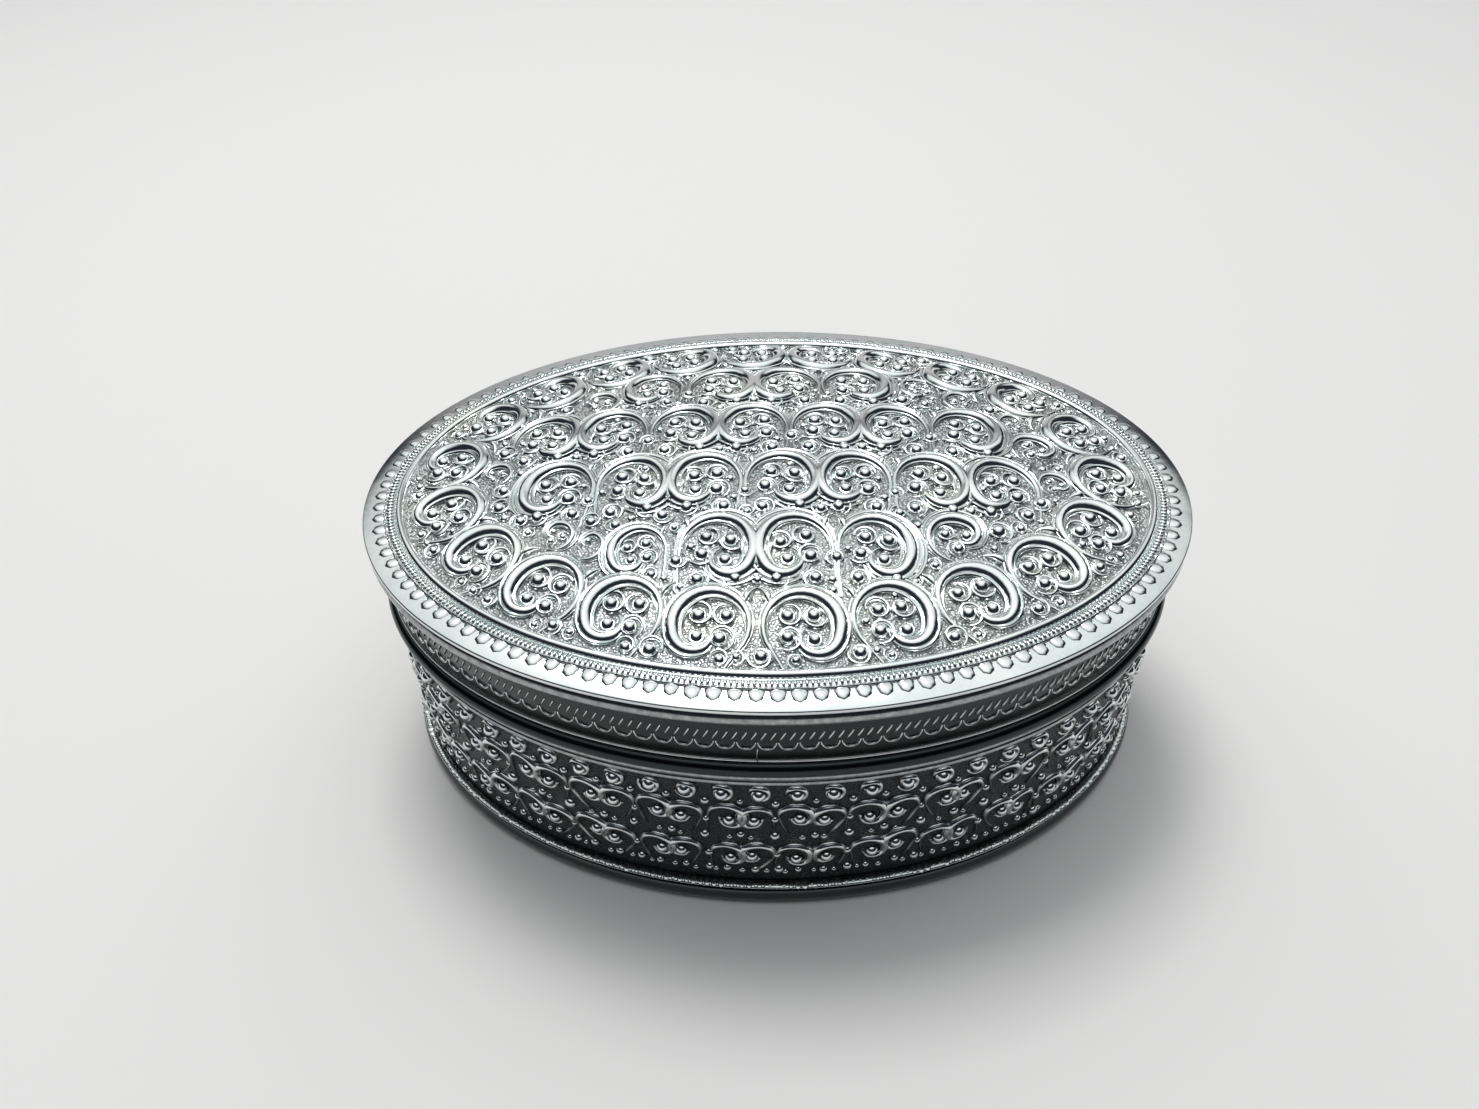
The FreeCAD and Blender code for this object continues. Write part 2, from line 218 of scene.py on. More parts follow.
# the oval that every strip and row follows, measured along its length from the right end
def ovalLine(longHalf, shortHalf, steps=1440):
    marks = []
    for step in range(steps + 1):
        angle = math.tau * step / steps
        marks.append(Vector((longHalf * math.cos(angle), shortHalf * math.sin(angle))))
    run = [0.0]
    for first, second in zip(marks, marks[1:]):
        run.append(run[-1] + (second - first).length)

    def at(distance):
        distance %= run[-1]
        step = min(bisect.bisect_right(run, distance) - 1, steps - 1)
        angle = math.tau * (step + (distance - run[step]) / (run[step + 1] - run[step])) / steps
        point = Vector((longHalf * math.cos(angle), shortHalf * math.sin(angle)))
        outward = Vector((math.cos(angle) / longHalf, math.sin(angle) / shortHalf)).normalized()
        return point, outward

    return {"length": run[-1], "front": 0.75 * run[-1], "at": at}


wallLine = ovalLine(halfLong, halfShort)


def finishPiece(name, shape, finish, body, replaced=(), crease=40):
    bmesh.ops.scale(shape, vec=(mm, mm, mm), verts=shape.verts)
    mesh = bpy.data.meshes.new(name)
    shape.to_mesh(mesh)
    shape.free()
    mesh.shade_smooth()
    mesh.set_sharp_from_angle(angle=math.radians(crease))
    mesh.materials.append(silvers[finish])
    piece = bpy.data.objects.new(name, mesh)
    scene.collection.objects.link(piece)
    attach(piece, body)
    if replaced:
        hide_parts(*replaced)
    print(name, sum(len(face.vertices) - 2 for face in mesh.polygons), "triangles")


# a strip of one section, spun to a ring and then laid round the oval; sway lets its outside wander a little
def spunRing(section, sway=0.0):
    steps, swayFrom = 288, 0.2
    shape = bmesh.new()
    corners = [shape.verts.new((halfLong + out, 0, high)) for out, high in section]
    sides = [shape.edges.new(pair) for pair in zip(corners, corners[1:] + corners[:1])]
    bmesh.ops.spin(shape, geom=corners + sides, cent=(0, 0, 0), axis=(0, 0, 1),
                   angle=math.tau, steps=steps, use_merge=True)
    bmesh.ops.recalc_face_normals(shape, faces=shape.faces)
    for vert in shape.verts:
        turn = math.atan2(vert.co.y, vert.co.x)
        out = math.hypot(vert.co.x, vert.co.y) - halfLong
        if sway and out > swayFrom:
            out += sway * noise.noise((2.3 * math.cos(turn), 2.3 * math.sin(turn), 0.15 * vert.co.z))
        point, outward = wallLine["at"](turn / math.tau * wallLine["length"])
        vert.co = (point + outward * out).to_3d() + Vector((0, 0, vert.co.z))
    return shape


# sections as (out from the wall, level): a standing bow, and a half-round that lies on its back
def bowSection(back, low, height, proud, startAngle=12, endAngle=168, points=13):
    first, last = math.radians(startAngle), math.radians(endAngle)
    undercut = startAngle > 20
    outline = [(back, low)] if undercut else []
    for number in range(points):
        angle = first + (last - first) * number / (points - 1)
        rise = (math.cos(first) - math.cos(angle)) / (math.cos(first) - math.cos(last))
        outline.append((back + proud * math.sin(angle), low + height * rise))
    return outline + [(back, low + height)] + ([] if undercut else [(back, low)])


def lyingSection(middle, low, halfWidth, height, points=13):
    outline = []
    for number in range(points):
        angle = math.pi * number / (points - 1)
        outline.append((middle + halfWidth * math.cos(angle), low + height * math.sin(angle)))
    return outline


lowerReed = bowSection(0.05, 33.35, 1.35, 0.55, points=9)[:-2]
upperReed = bowSection(0.05, 34.7, 1.35, 0.55, points=9)[:-1]
trims = {
    "footMoulding": {
        "section": bowSection(0.05, 0, 5, 2.1, startAngle=30), "sway": 0.09,
        "body": "box", "node": "base_moulding", "finish": "footDark", "slot": "plain_silver"},
    "bodyCollar": {
        "section": bowSection(0.05, 36.1, 3.2, 1.5), "sway": 0.05,
        "body": "box", "node": "body_collar", "finish": "sideTrim", "slot": "plain_silver"},
    "reeds": {
        "section": lowerReed + upperReed + [(0.05, 33.35)], "sway": 0.03,
        "body": "box", "node": "reed_wire", "finish": "footTrim", "slot": "plain_silver"},
    "bodyWall": {
        "section": [(0, 0), (0, 39.3), (-0.8, 39.3), (-0.8, 0)], "sway": 0.0,
        "body": "box", "node": "body_wall", "finish": "wallGround", "slot": "chased_silver"},
    "bezel": {
        "section": [(-0.85, 27.3), (-0.85, 45.9), (-0.95, 46.2), (-1.25, 46.35), (-1.55, 46.2),
                    (-1.65, 45.9), (-1.65, 27.3)], "sway": 0.0,
        "body": "box", "node": "inner_flange", "finish": "insideSilver", "slot": "inside_silver"},
    "lidSkirt": {
        "section": [(0.0, 39.4), (0.14, 39.46), (0.2, 39.6), (0.2, 53.3), (-0.6, 53.3),
                    (-0.6, 39.6), (-0.5, 39.4)], "sway": 0.0,
        "body": "lid", "node": "lid_skirt", "finish": "sideTrim", "slot": "chased_silver"},
    "lidRim": {
        "section": bowSection(0.25, 49.85, 3.4, 2.0), "sway": 0.06,
        "body": "lid", "node": "lid_rim", "finish": "footTrim", "slot": "plain_silver"},
    "lidBorder": {
        "section": [(2.05, 53.3), (2.24, 53.4), (2.3, 53.55), (2.3, 53.95), (2.22, 54.12), (2.05, 54.22),
                    (-1.9, 54.6), (-6.65, 54.6), (-6.65, 53.3)], "sway": 0.04,
        "body": "lid", "node": "lid_border", "finish": "chasedTrim", "slot": "chased_silver"},
    "panelFillet": {
        "section": lyingSection(-4.5, 54.6, 0.9, 1.15), "sway": 0.0,
        "body": "lid", "node": "panel_wire", "finish": "plainTrim", "slot": "plain_silver"},
}
for name, trim in trims.items():
    ring = spunRing(trim["section"], sway=trim["sway"])
    finishPiece(name, ring, trim["finish"], trim["body"], (trim["node"],))


# many small domes, stamped a few at a time and then joined
def stampDomes(shape, places, around=8, down=6):
    batch = 24
    mesh = bpy.data.meshes.new("stamps")
    for first in range(0, len(places), batch):
        stamps = bmesh.new()
        for place in places[first:first + batch]:
            bmesh.ops.create_uvsphere(stamps, u_segments=around, v_segments=down, radius=1, matrix=place)
        stamps.to_mesh(mesh)
        stamps.free()
        shape.from_mesh(mesh)
    bpy.data.meshes.remove(mesh)


# domes punched in a row round the oval, each with its own length, width and height
def punchedRow(shape, row):
    places = []
    line = ovalLine(halfLong + row["out"], halfShort + row["out"])
    for number in range(row["count"]):
        point, outward = line["at"](line["front"] + line["length"] * number / row["count"])
        size = 1 + row["uneven"] * hand.uniform(-1, 1)
        along = Vector((-outward.y, outward.x, 0)) * row["width"] * size
        inward = Vector((-outward.x, -outward.y, 0)) * row["length"] * size
        place = Matrix((along, inward, Vector((0, 0, row["height"])))).transposed().to_4x4()
        place.translation = point.to_3d() + Vector((0, 0, row["level"]))
        places.append(place)
    stampDomes(shape, places)


milled = {
    "band": (-2.75, 54.6, 0.8, 0.28),
    "out": -2.75, "count": 426, "width": 0.36, "length": 0.74, "height": 0.55, "level": 54.75, "uneven": 0.08,
}
milledBand = spunRing(lyingSection(*milled["band"], points=9))
punchedRow(milledBand, milled)
finishPiece("milledBand", milledBand, "plainTrim", "lid", ("milled_wire",))

footTicks = {
    "band": (0.95, 4.7, 0.75, 0.35), "sway": 0.12,
    "out": 0.95, "count": 320, "width": 0.55, "length": 0.75, "height": 0.22, "level": 4.95, "uneven": 0.45,
}
footEdge = spunRing(lyingSection(*footTicks["band"], points=9), sway=footTicks["sway"])
punchedRow(footEdge, footTicks)
finishPiece("footEdge", footEdge, "wornEdge", "box")

lip = {"back": 0.15, "low": 39.45, "height": 0.55, "proud": 0.2}
skirtLip = spunRing(bowSection(**lip, points=7))
finishPiece("skirtLip", skirtLip, "wornEdge", "lid")

tongues = {
    "band": (-1.72, 54.5, 0.22, 0.5),
    "out": -1.25, "count": 119, "width": 1.5, "length": 1.9, "height": 0.55, "level": 54.32, "uneven": 0.06,
}
borderTongues = spunRing(lyingSection(*tongues["band"], points=7))
punchedRow(borderTongues, tongues)
finishPiece("borderTongues", borderTongues, "chasedTrim", "lid")


# chased strokes: flat lines swept with a section, to be laid on the metal afterwards
def sectionCurve(name, outline):
    data = bpy.data.curves.new(name, "CURVE")
    data.dimensions = "2D"
    spline = data.splines.new("POLY")
    spline.points.add(len(outline) - 1)
    for mark, (across, rise) in zip(spline.points, outline):
        mark.co = (across, rise, 0, 1)
    spline.use_cyclic_u = True
    curve = bpy.data.objects.new(name, data)
    scene.collection.objects.link(curve)
    return curve


# as (across, height), in shares of a stroke's width; the minus side is the outside of a clockwise scroll
crown = [(1.19, 0.2), (1.1, 0.52), (0.95, 0.56), (0.84, 0.34), (0.72, 0.7), (0.42, 1.02), (0.05, 1.14),
         (-0.34, 1.04), (-0.66, 0.76), (-0.84, 0.42)]
sections = {
    "ribbon": sectionCurve("ribbonSection", [(-1.2, -0.4), (1.2, -0.4)] + crown + [
        (-0.95, 0.58), (-1.08, 0.54), (-1.18, 0.2)]),
    "flow": sectionCurve("flowSection", [(-1.95, -0.4), (1.2, -0.4)] + crown + [
        (-0.98, 0.68), (-1.16, 0.7), (-1.32, 0.46), (-1.4, 0.26), (-1.52, 0.46), (-1.68, 0.46),
        (-1.82, 0.24), (-1.92, -0.05)]),
    "ridge": sectionCurve("ridgeSection", [
        (-0.42, -0.35), (0.42, -0.35), (0.34, 0.3), (0.12, 0.6), (-0.12, 0.6), (-0.34, 0.3)]),
}


def sweptStrokes(shape, section, strokes):
    data = bpy.data.curves.new("strokes", "CURVE")
    data.dimensions = "3D"
    data.twist_mode = "Z_UP"
    data.bevel_mode = "OBJECT"
    data.bevel_object = sections[section]
    data.use_fill_caps = True
    for stroke in strokes:
        spline = data.splines.new("POLY")
        spline.points.add(len(stroke) - 1)
        for mark, (x, y, width) in zip(spline.points, stroke):
            mark.co = (x, y, 0, 1)
            mark.radius = width
    rail = bpy.data.objects.new("strokes", data)
    scene.collection.objects.link(rail)
    bpy.context.view_layer.update()
    mesh = bpy.data.meshes.new_from_object(rail.evaluated_get(bpy.context.evaluated_depsgraph_get()))
    bpy.data.objects.remove(rail)
    shape.from_mesh(mesh)
    bpy.data.meshes.remove(mesh)


def towards(degrees):
    return Vector((math.cos(math.radians(degrees)), math.sin(math.radians(degrees))))


def directionOf(line):
    return math.degrees(math.atan2(line.y, line.x))


# a volute of arcs, each touching the last from inside; turn is 1 for clockwise and -1 for the mirror of it
def volute(centre, start, turn, arcs, tail=None, step=12):
    middle, angle, arcs = Vector(centre), start, list(arcs)
    if tail:
        middle = middle - towards(start) * (tail[0] - arcs[0][0])
        angle = start + turn * tail[1]
        arcs.insert(0, tail)
    marks = []
    for number, (radius, sweep) in enumerate(arcs):
        if number:
            middle = middle + towards(angle) * (arcs[number - 1][0] - radius)
        pieces = max(2, round(sweep / step))
        for piece in range(0 if number == 0 else 1, pieces + 1):
            marks.append(middle + towards(angle - turn * sweep * piece / pieces) * radius)
        angle -= turn * sweep
    return marks, middle


# gives the marks of a stroke their widths, from tip to full width over rise, and down to end after fall
def tapered(marks, width, rise, fall, tip, end):
    stroke = []
    for number, mark in enumerate(marks):
        share = number / (len(marks) - 1)
        scale = tip + (1 - tip) * min(1, share / rise) ** 0.8
        scale *= 1 - (1 - end) * max(0, (share - fall) / (1 - fall))
        stroke.append((mark.x, mark.y, width * scale))
    return stroke


# beads on flat work, the wide ones finer than the rest
def addBeads(shape, beads, wide):
    small, large = [], []
    for centre, radius, height in beads:
        place = Matrix.Diagonal((radius, radius, height, 1))
        place.translation = (centre.x, centre.y, 0)
        (large if radius > wide else small).append(place)
    stampDomes(shape, small)
    stampDomes(shape, large, 12, 8)


# the least share and the upward share set painted light on upright work: faces turned up are lit, faces turned down
# shaded
layingAndLight = {"least": 0.1, "litFromAbove": 0.85, "root": -0.45}             # the root stays within the sheet


# lays flat work on the metal and keeps each point's height as its relief
# upright work then gets painted light, lighter where it faces up and darker where it faces down, and upright says how
# much its height counts
def layOn(shape, surface, fullHeight, upright=0):
    bmesh.ops.remove_doubles(shape, verts=shape.verts, dist=0.0005)
    bmesh.ops.recalc_face_normals(shape, faces=shape.faces)
    reliefAndFacingLight = shape.verts.layers.float.new("reliefAndFacingLight")
    for vert in shape.verts:
        vert[reliefAndFacingLight] = max(0.0, min(1.0, vert.co.z / fullHeight))
        vert.co = surface(vert.co.x, vert.co.y, max(vert.co.z, layingAndLight["root"]))
    if upright:
        shape.normal_update()
        for vert in shape.verts:
            heightAndFacingLight = layingAndLight["least"] + upright * vert[reliefAndFacingLight] + layingAndLight["litFromAbove"] * vert.normal.z
            vert[reliefAndFacingLight] = max(0.0, min(1.0, heightAndFacingLight))


# lid panel: a cap of an ellipsoid
dome = {
    "foot": 54.6, "rise": 6.8, "thick": 0.8,
    "long": halfLong - 5.45, "short": halfShort - 5.45,
    "edge": math.sin(math.radians(60)),         # where the cap is cut from its ellipsoid
}


def domeHeight(x, y):
    share = min((x / dome["long"]) ** 2 + (y / dome["short"]) ** 2, 3.2)
    return dome["foot"] + dome["rise"] * (math.sqrt(1 - share / 4) - dome["edge"]) / (1 - dome["edge"])


def onDome(x, y, height):
    step = 0.25
    slopeX = (domeHeight(x + step, y) - domeHeight(x - step, y)) / (2 * step)
    slopeY = (domeHeight(x, y + step) - domeHeight(x, y - step)) / (2 * step)
    return Vector((x, y, domeHeight(x, y))) + Vector((-slopeX, -slopeY, 1)).normalized() * height


panel = bmesh.new()
bmesh.ops.create_uvsphere(panel, u_segments=144, v_segments=96, radius=1)
bmesh.ops.bisect_plane(panel, geom=panel.verts[:] + panel.edges[:] + panel.faces[:], dist=0.0001,
                       plane_co=(0, 0, dome["edge"]), plane_no=(0, 0, 1), clear_inner=True)
bmesh.ops.translate(panel, vec=(0, 0, -dome["edge"]), verts=panel.verts)
bmesh.ops.scale(panel, verts=panel.verts,
                vec=(2 * dome["long"], 2 * dome["short"], dome["rise"] / (1 - dome["edge"])))
bmesh.ops.translate(panel, vec=(0, 0, dome["foot"]), verts=panel.verts)
bmesh.ops.solidify(panel, geom=panel.faces[:], thickness=dome["thick"])
finishPiece("lidPanel", panel, "lidGround", "lid", ("lid_panel",))

# scroll cells of the lid: a row along the border, and rows of hearts, each of two mirrored scrolls, inside it
# lengths within a cell are shares of its size
lidCells = {
    "borderCount": 22, "borderInset": 7.1, "borderRadius": 6.95, "borderShift": -3.25,
    "rows": [(-23.7, 3.3), (-7.9, 1.1), (7.9, -3.5), (23.7, 3.0)],         # level and first place of each row
    "hearts": (0, 1, 0, 0),                                               # which place of a row starts a heart
    "spacing": 13.0, "innerInset": 14, "innerEdge": 1.1, "innerRadius": 7.0, "least": 3.6,
    "border": {"arcs": [(0.88, 225), (0.5, 95), (0.33, 110)], "tail": (3.2, 26), "start": 66, "stretch": 1.03},
    "inner": {"arcs": [(0.88, 205), (0.5, 105), (0.33, 110)], "tail": (6, 13), "start": 90, "stretch": 1.12},
    "ribbon": 0.235, "eye": 0.2, "startLoose": 7,
    "ribbonHeight": 0.9, "curlHeight": 0.55, "wideBead": 0.8,             # in millimetres
    "taper": {"rise": 0.42, "fall": 0.5, "tip": 0.16, "end": 0.26},
    "curl": {"turns": (88, 180, 272), "out": 0.42, "radius": 0.31, "uneven": 0.06, "loose": 50},
    "lowCurl": {"aside": 0.42, "down": 0.93, "radius": 0.28},
    "leaf": {"lean": 48, "bend": 75, "bendBack": 50, "spring": 0.95, "length": 0.62, "width": 0.13, "steps": 8},
    "leafTaper": {"rise": 0.3, "fall": 0.35, "tip": 0.4, "end": 0.08},
}
beadCurls = {
    "arcs": [(0.88, 170), (0.76, 120), (0.58, 100)], "width": 0.6, "widest": 1.3, "bead": 0.64, "beadHeight": 0.68,
    "taper": {"rise": 0.2, "fall": 0.55, "tip": 0.4, "end": 0.55},
}


def lidLayout():
    cells = []
    inset, count = lidCells["borderInset"], lidCells["borderCount"]
    ring = ovalLine(dome["long"] - inset, dome["short"] - inset)
    for number in range(count):
        along = ring["front"] + lidCells["borderShift"] + ring["length"] * (number + 0.5) / count
        point, outward = ring["at"](along)
        facing = directionOf(outward)
        side = 1 if number < count / 2 else -1              # away from the front middle
        cells.append({"kind": "border", "at": point, "size": lidCells["borderRadius"], "turn": side,
                      "start": facing - side * lidCells["border"]["start"], "facing": facing})
    border = list(cells)
    longEdge, shortEdge = dome["long"] - lidCells["innerInset"], dome["short"] - lidCells["innerInset"]
    for (level, first), odd in zip(lidCells["rows"], lidCells["hearts"]):
        for place in range(-5, 6):
            point = Vector((first + lidCells["spacing"] * place, level))
            room = min((point - cell["at"]).length - cell["size"] for cell in border)
            inside = math.hypot(point.x / longEdge, point.y / shortEdge) < lidCells["innerEdge"]
            if not inside or room < lidCells["least"]:
                continue
            side = -1 if (place + odd) % 2 else 1           # left or right half of its heart
            cells.append({"kind": "inner", "at": point, "size": min(lidCells["innerRadius"], room), "turn": -side,
                          "start": 90 - side * lidCells["inner"]["start"], "facing": -90})
    return cells


# a small curl with a bead for its eye
def beadCurl(ridges, domes, centre, radius, start, turn):
    arcs = [(share * radius, sweep) for share, sweep in beadCurls["arcs"]]
    marks, eye = volute(centre, start, turn, arcs, step=20)
    width = min(beadCurls["widest"], beadCurls["width"] * radius)
    ridges.append(tapered(marks, width, **beadCurls["taper"]))
    domes.append((eye, radius * beadCurls["bead"], radius * beadCurls["beadHeight"]))


# a pointed leaf that springs from the shoulder of a scroll into the gap beside it
def leaf(cell):
    form, size, turn = lidCells["leaf"], cell["size"], cell["turn"]
    lean = cell["facing"] + 180 + turn * form["lean"]
    spring = cell["at"] + towards(lean) * form["spring"] * size
    marks = []
    for step in range(form["steps"] + 1):
        bend = lean + turn * (form["bend"] * step / form["steps"] - form["bendBack"])
        marks.append(spring)
        spring = spring + towards(bend) * form["length"] * size / form["steps"]
    return tapered(marks, form["width"] * size, **lidCells["leafTaper"])


# strokes run clockwise, so that the grooves stay on the outside
def clockwise(stroke, turn):
    return stroke if turn == 1 else stroke[::-1]


ribbons, flows, ridges, domes = [], [], [], []
cells = lidLayout()
for cell in cells:
    size, centre, turn = cell["size"], cell["at"], cell["turn"]
    kind, curl, lowCurl = lidCells[cell["kind"]], lidCells["curl"], lidCells["lowCurl"]
    arcs = [(radius * size, sweep) for radius, sweep in kind["arcs"]]
    tail = (kind["tail"][0] * size, kind["tail"][1])
    start = cell["start"] + hand.uniform(-lidCells["startLoose"], lidCells["startLoose"])
    marks, eye = volute(centre, start, turn, arcs, tail)
    upward = towards(cell["facing"])
    marks = [mark + upward * (mark - centre).dot(upward) * (kind["stretch"] - 1) for mark in marks]
    eye = eye + upward * (eye - centre).dot(upward) * (kind["stretch"] - 1)
    stroke = tapered(marks, lidCells["ribbon"] * size, **lidCells["taper"])
    (flows if cell["kind"] == "inner" else ribbons).append(clockwise(stroke, turn))
    domes.append((eye, lidCells["eye"] * size, lidCells["eye"] * size))
    away = directionOf(eye - centre)
    for aside in curl["turns"]:
        spot = centre + towards(away + aside) * curl["out"] * size
        radius = curl["radius"] * size * hand.uniform(1 - curl["uneven"], 1 + curl["uneven"])
        begin = away + aside + hand.uniform(-curl["loose"], curl["loose"])
        beadCurl(ridges, domes, spot, radius, begin, -turn if aside == curl["turns"][-1] else turn)
    if cell["kind"] == "inner":
        for side in (-1, 1):
            spot = centre + Vector((side * lowCurl["aside"] * size, -lowCurl["down"] * size))
            begin = -90 + hand.uniform(-curl["loose"], curl["loose"])
            beadCurl(ridges, domes, spot, lowCurl["radius"] * size, begin, side)
    ribbons.append(leaf(cell))

# fill what is left with smaller scrolls, curls and beads, the widest gap first
filling = {
    "step": 0.7, "columns": 96, "rows": 66, "edge": 0.99, "edgeRoom": 0.97,        # grid of places to look at
    "ribbonHalf": 1.1, "flowHalf": 1.4, "ridgeHalf": 0.3,                          # half widths of the strokes
    "arcs": [(0.86, 205), (0.5, 100), (0.32, 90)], "ribbon": 0.24, "largest": 5.5, "smallest": 2.5,     # scrolls
    "begins": (-150, -60), "overlap": 0.5, "eye": 0.2, "curled": 3.3, "curlTurns": (120, 240),
    "curlOut": 0.38, "curl": 0.31, "leastBead": 0.9, "leastCurl": 1.1, "largestCurl": 2.25, "curlSize": 1.02,
    "bead": 0.86, "beadHeight": 0.8,
}
obstacles = []
for strokes, half in ((ribbons, filling["ribbonHalf"]), (flows, filling["flowHalf"]), (ridges, filling["ridgeHalf"])):
    obstacles += [(x, y, half * width) for stroke in strokes for x, y, width in stroke]
obstacles += [(centre.x, centre.y, radius) for centre, radius, height in domes]
nearby = kdtree.KDTree(len(obstacles))
for number, (x, y, half) in enumerate(obstacles):
    nearby.insert((x, y, 0), number)
nearby.balance()
spots, rooms = [], []
for column in range(-filling["columns"], filling["columns"] + 1):
    for row in range(-filling["rows"], filling["rows"] + 1):
        x, y = column * filling["step"], row * filling["step"]
        share = math.hypot(x / dome["long"], y / dome["short"])
        if share < filling["edge"]:
            edge = (1 - share) * dome["short"] * filling["edgeRoom"]
            room = min(away - obstacles[number][2] for spot, number, away in nearby.find_n((x, y, 0), 8))
            spots.append((x, y))
            rooms.append(min(edge, room))
spots, rooms = numpy.array(spots), numpy.array(rooms)


def roomsBeside(x, y, size):
    return numpy.minimum(rooms, numpy.hypot(spots[:, 0] - x, spots[:, 1] - y) - size)


while rooms.max() > filling["smallest"]:
    widest = int(rooms.argmax())
    centre, size = Vector(spots[widest]), min(float(rooms[widest]) + filling["overlap"], filling["largest"])
    side = 1 if centre.x > 0 else -1
    arcs = [(radius * size, sweep) for radius, sweep in filling["arcs"]]
    marks, eye = volute(centre, hand.uniform(*filling["begins"]), side, arcs)
    stroke = tapered(marks, filling["ribbon"] * size, **lidCells["taper"])
    domes.append((eye, filling["eye"] * size, filling["eye"] * size))
    flows.append(clockwise(stroke, side))
    if size > filling["curled"]:
        away = directionOf(eye - centre)
        for aside in filling["curlTurns"]:
            spot = centre + towards(away + aside) * filling["curlOut"] * size
            beadCurl(ridges, domes, spot, filling["curl"] * size, away + aside, side)
    rooms = roomsBeside(centre.x, centre.y, size)

fillers = 0
while rooms.max() > filling["leastBead"]:
    widest = int(rooms.argmax())
    x, y = spots[widest]
    room = min(float(rooms[widest]), filling["largestCurl"])
    if room > filling["leastCurl"]:
        begin = hand.uniform(0, 360)
        beadCurl(ridges, domes, Vector((x, y)), room * filling["curlSize"], begin, hand.choice((-1, 1)))
    else:
        domes.append((Vector((x, y)), room * filling["bead"], room * filling["beadHeight"]))
    rooms = roomsBeside(x, y, room)
    fillers += 1
print("lid scrolls", len(cells), "fillers", fillers)

lidScrolls = bmesh.new()
sweptStrokes(lidScrolls, "ribbon", ribbons)
sweptStrokes(lidScrolls, "flow", flows)
layOn(lidScrolls, onDome, lidCells["ribbonHeight"])
finishPiece("lidScrolls", lidScrolls, "lidScroll", "lid", crease=60)

lidCurls = bmesh.new()
sweptStrokes(lidCurls, "ridge", ridges)
addBeads(lidCurls, domes, lidCells["wideBead"])
layOn(lidCurls, onDome, lidCells["curlHeight"])
finishPiece("lidCurls", lidCurls, "lidScroll", "lid", crease=60)


# wall ornament: hearts of two small scrolls in two rows, a row of curls above and beads between
def onWall(along, level, height):
    point, outward = wallLine["at"](wallLine["front"] + along)
    return (point + outward * height).to_3d() + Vector((0, 0, level))


wall = {
    "count": 32, "rows": (24.2, 13.6), "half": 2.85, "radius": 2.95, "uneven": 0.09, "stray": (0.55, 0.85),
    "arcs": [(0.98, 195), (0.68, 105), (0.5, 70)], "tail": (6, 16), "lean": 100, "startLoose": 24,
    "ribbon": 0.76, "taper": {"rise": 0.42, "fall": 0.5, "tip": 0.25, "end": 0.4},
    "eye": 1.12, "eyeHeight": 0.95,
    "topLevel": 31.0, "topRadius": 1.95, "topPlaces": (-0.25, 0.25), "topBegins": (150, 210),
    "beads": [(0, 19.2, 0.85), (6.15, 18.9, 1.0), (-2.0, 18.4, 0.62), (2.0, 18.4, 0.62), (6.15, 28.4, 0.8),
              (6.15, 23.5, 0.75), (0, 28.6, 0.7), (-2.3, 8.5, 0.8), (2.3, 8.5, 0.8), (0, 7.9, 0.62),
              (6.15, 8.6, 0.9), (6.15, 13.2, 0.75), (4.3, 7.9, 0.6), (-4.3, 7.9, 0.6)],     # along, level, radius
    "beadStray": (0.4, 0.3), "beadSizes": (0.85, 1.2), "beadHeight": 0.85,
    "wideBead": 1.1, "fullHeight": 1.1, "heightCounts": 0.6,
}


def stray(most):
    return Vector((most[0] * hand.uniform(-1, 1), most[1] * hand.uniform(-1, 1)))


wallRibbons, wallRidges, wallDomes = [], [], []
pitch = wallLine["length"] / wall["count"]
for number in range(wall["count"]):
    middle = (number + 0.5) * pitch
    for level in wall["rows"]:
        for side in (-1, 1):
            size = wall["radius"] * (1 + wall["uneven"] * hand.uniform(-1, 1))
            centre = Vector((middle + side * wall["half"], level)) + stray(wall["stray"])
            arcs = [(radius * size, sweep) for radius, sweep in wall["arcs"]]
            tail = (wall["tail"][0] * size, wall["tail"][1])
            begin = 90 - side * wall["lean"] + hand.uniform(-wall["startLoose"], wall["startLoose"])
            marks, eye = volute(centre, begin, -side, arcs, tail, step=15)
            wallRibbons.append(clockwise(tapered(marks, wall["ribbon"], **wall["taper"]), -side))
            wallDomes.append((eye, wall["eye"], wall["eye"] * wall["eyeHeight"]))
    for shift in wall["topPlaces"]:
        centre = Vector((middle + shift * pitch, wall["topLevel"]))
        begin = hand.uniform(*wall["topBegins"])
        beadCurl(wallRidges, wallDomes, centre, wall["topRadius"], begin, hand.choice((-1, 1)))
    for along, level, radius in wall["beads"]:
        centre = Vector((middle + along, level)) + stray(wall["beadStray"])
        wallDomes.append((centre, radius * hand.uniform(*wall["beadSizes"]), radius * wall["beadHeight"]))

wallScrolls = bmesh.new()
sweptStrokes(wallScrolls, "ribbon", wallRibbons)
sweptStrokes(wallScrolls, "ridge", wallRidges)
addBeads(wallScrolls, wallDomes, wall["wideBead"])
layOn(wallScrolls, onWall, wall["fullHeight"], upright=wall["heightCounts"])
finishPiece("wallScrolls", wallScrolls, "wallScroll", "box", crease=60)

# lid skirt: rope of slanted ticks above small hanging loops
skirtLine = ovalLine(halfLong + 0.2, halfShort + 0.2)


def onSkirt(along, level, height):
    point, outward = skirtLine["at"](skirtLine["front"] + along)
    return (point + outward * height).to_3d() + Vector((0, 0, level))


